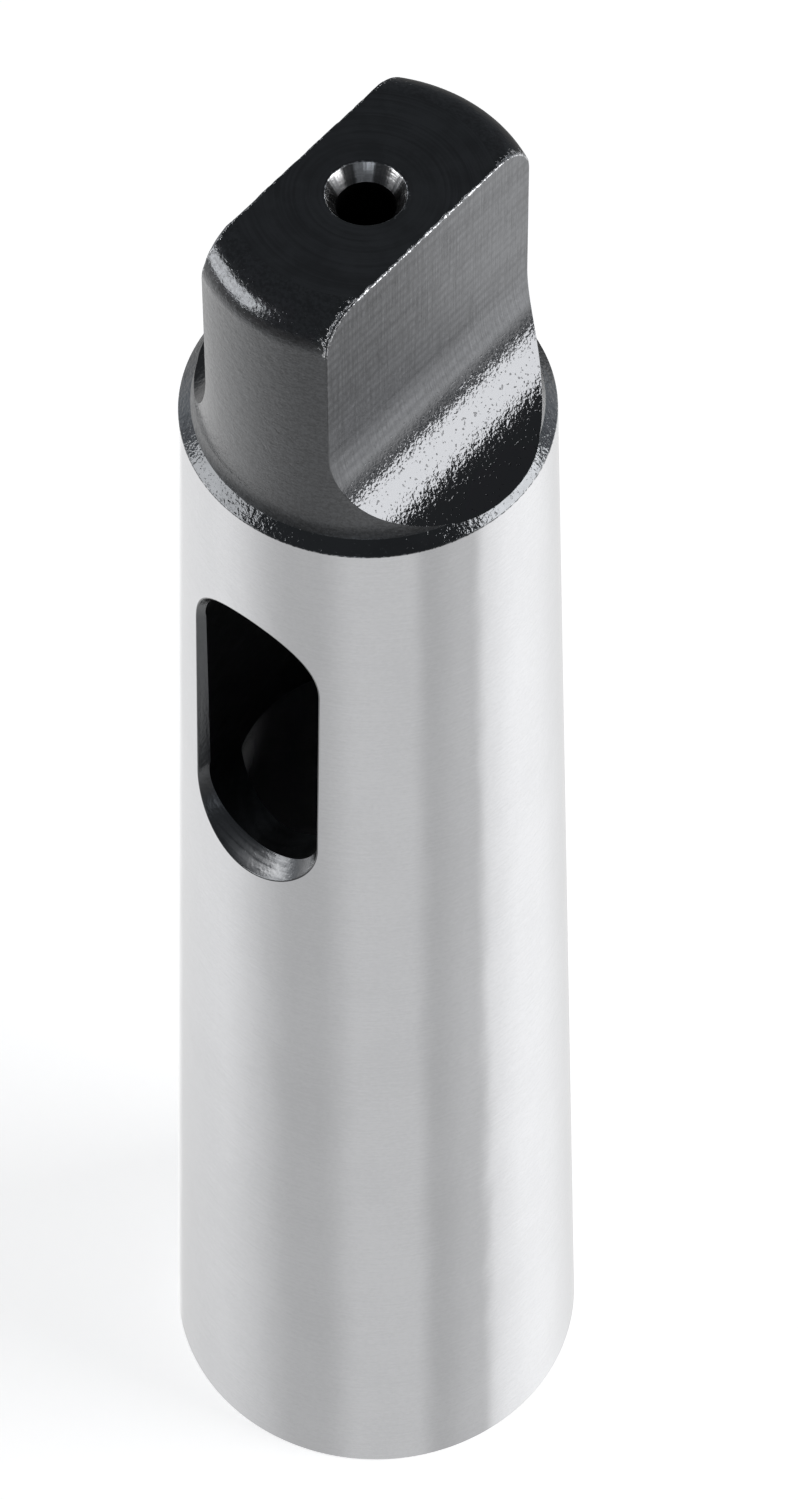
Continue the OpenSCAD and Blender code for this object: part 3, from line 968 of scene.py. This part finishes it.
def make_world():
    """White for the camera. For everything else a soft studio: a pale room below the horizon, darker
    behind and with a shade in front where the camera stands, and a dark ceiling, with a bright gap in
    front. Angles are in degrees from the camera's side."""
    world = bpy.data.worlds.new("studio")
    world.use_nodes = True
    tree = world.node_tree
    way = add_node(tree, "ShaderNodeTexCoord", output="Generated")
    x, y, z = split(add_node(tree, "ShaderNodeVectorRotate", {"Vector": way, "Angle": -FACING},
                             rotation_type="Z_AXIS"))
    around = calc("DEGREES", calc("ARCTAN2", y, x))
    height = calc("DEGREES", calc("ARCSINE", z))
    far = calc("ABSOLUTE", around)

    # The room below the horizon: broad lighter and darker cards, then parts at some heights only
    below = card(around, -100, -45, 63, 74, -0.335) + 0.80
    for band in ((-32, -8, 23, 36, 0.12), (36, 60, 63, 74, 0.08), (62, 100, 108, 160, 0.2)):
        below = below + card(around, *band)
    low_left = step_up(around, -60, -95) * step_up(height, -53.5, -57.5)
    low_right = card(around, 60, 78, 120, 150, 0.4) * card(height, -46, -34, -20, -10)
    below = below + low_left * -0.11 + low_right
    dusk = card(around, -125, -75, 35, 65, -0.6) * step_up(height, -47, -18)
    left_back = step_up(around, -150, -172) * step_up(height, -42, -50)
    below = below * (dusk + 1.0) + left_back * 0.4
    behind = step_up(far, 130, 150) * step_up(height, -50, -38) * step_up(around, -1, 1, -0.45, -0.85)
    below = below * (behind + 1.0)

    # The ceiling, lighter far round at the sides, and the gap
    room = card(far, 100, 125, 130, 150) * step_up(height, 40, 5, 0.0, 0.55) + 0.11
    room = room + card(around, -20, -14, -1, 4, 0.9) * card(height, -5, 1, 7, 10)
    above = step_up(height, -12, 0)
    tint = mix_colour(above, (1, 1, 1, 1), (0.93, 0.99, 1.06, 1))
    seen = add_node(tree, "ShaderNodeLightPath", output="Is Camera Ray")
    feed(tree.nodes["Background"], {"Color": mix_colour(seen, tint, (1, 1, 1, 1)),
                                    "Strength": mix_value(seen, mix_value(above, below, room), 1.0)})
    bpy.context.scene.world = world


def make_floor():
    """A plain pale floor that keeps the sleeve's soft shadow and looks white to the camera. Reflections
    and shadow rays go through it, so that the sleeve is lit from the pale room below too, but not under
    the sleeve: there it closes the mouth of the socket, and doesn't glow."""
    corners = [(x * FLOOR_HALF, y * FLOOR_HALF, -FLOOR_DROP) for x, y in ((-1, -1), (1, -1), (1, 1), (-1, 1))]
    floor_mesh = bpy.data.meshes.new("floor")
    floor_mesh.from_pydata(corners, [], [(0, 1, 2, 3)])
    floor = place("floor", floor_mesh)
    material = bpy.data.materials.new("floor_white")
    material.use_nodes = True
    tree = material.node_tree
    shader = tree.nodes["Principled BSDF"]
    x, y, _ = split(add_node(tree, "ShaderNodeTexCoord", output="Object"))
    radius = length_of(x, y)
    outside = calc("GREATER_THAN", radius, COVERED_R)
    path = tree.nodes.new("ShaderNodeLightPath").outputs
    seen, glossy, shadow = (Wire(tree, path[f"Is {kind} Ray"]) for kind in ("Camera", "Glossy", "Shadow"))
    feed(shader, {"Base Color": (0.8, 0.8, 0.8, 1), "Roughness": 1.0, "Specular IOR Level": 0.0,
                  "Emission Color": (1, 1, 1, 1),
                  "Emission Strength": seen * (step_up(radius, 0.2, 1.0, 0.66, 1.0) * outside)})
    passing = calc("MAXIMUM", glossy, shadow) * outside
    clear = add_node(tree, "ShaderNodeBsdfTransparent")
    either = add_node(tree, "ShaderNodeMixShader", {0: passing, 1: Wire(tree, shader.outputs[0]), 2: clear})
    feed(tree.nodes["Material Output"], {"Surface": either})
    floor_mesh.materials.append(material)


make_world()
make_floor()

bpy.context.scene.view_settings.view_transform = "Standard"
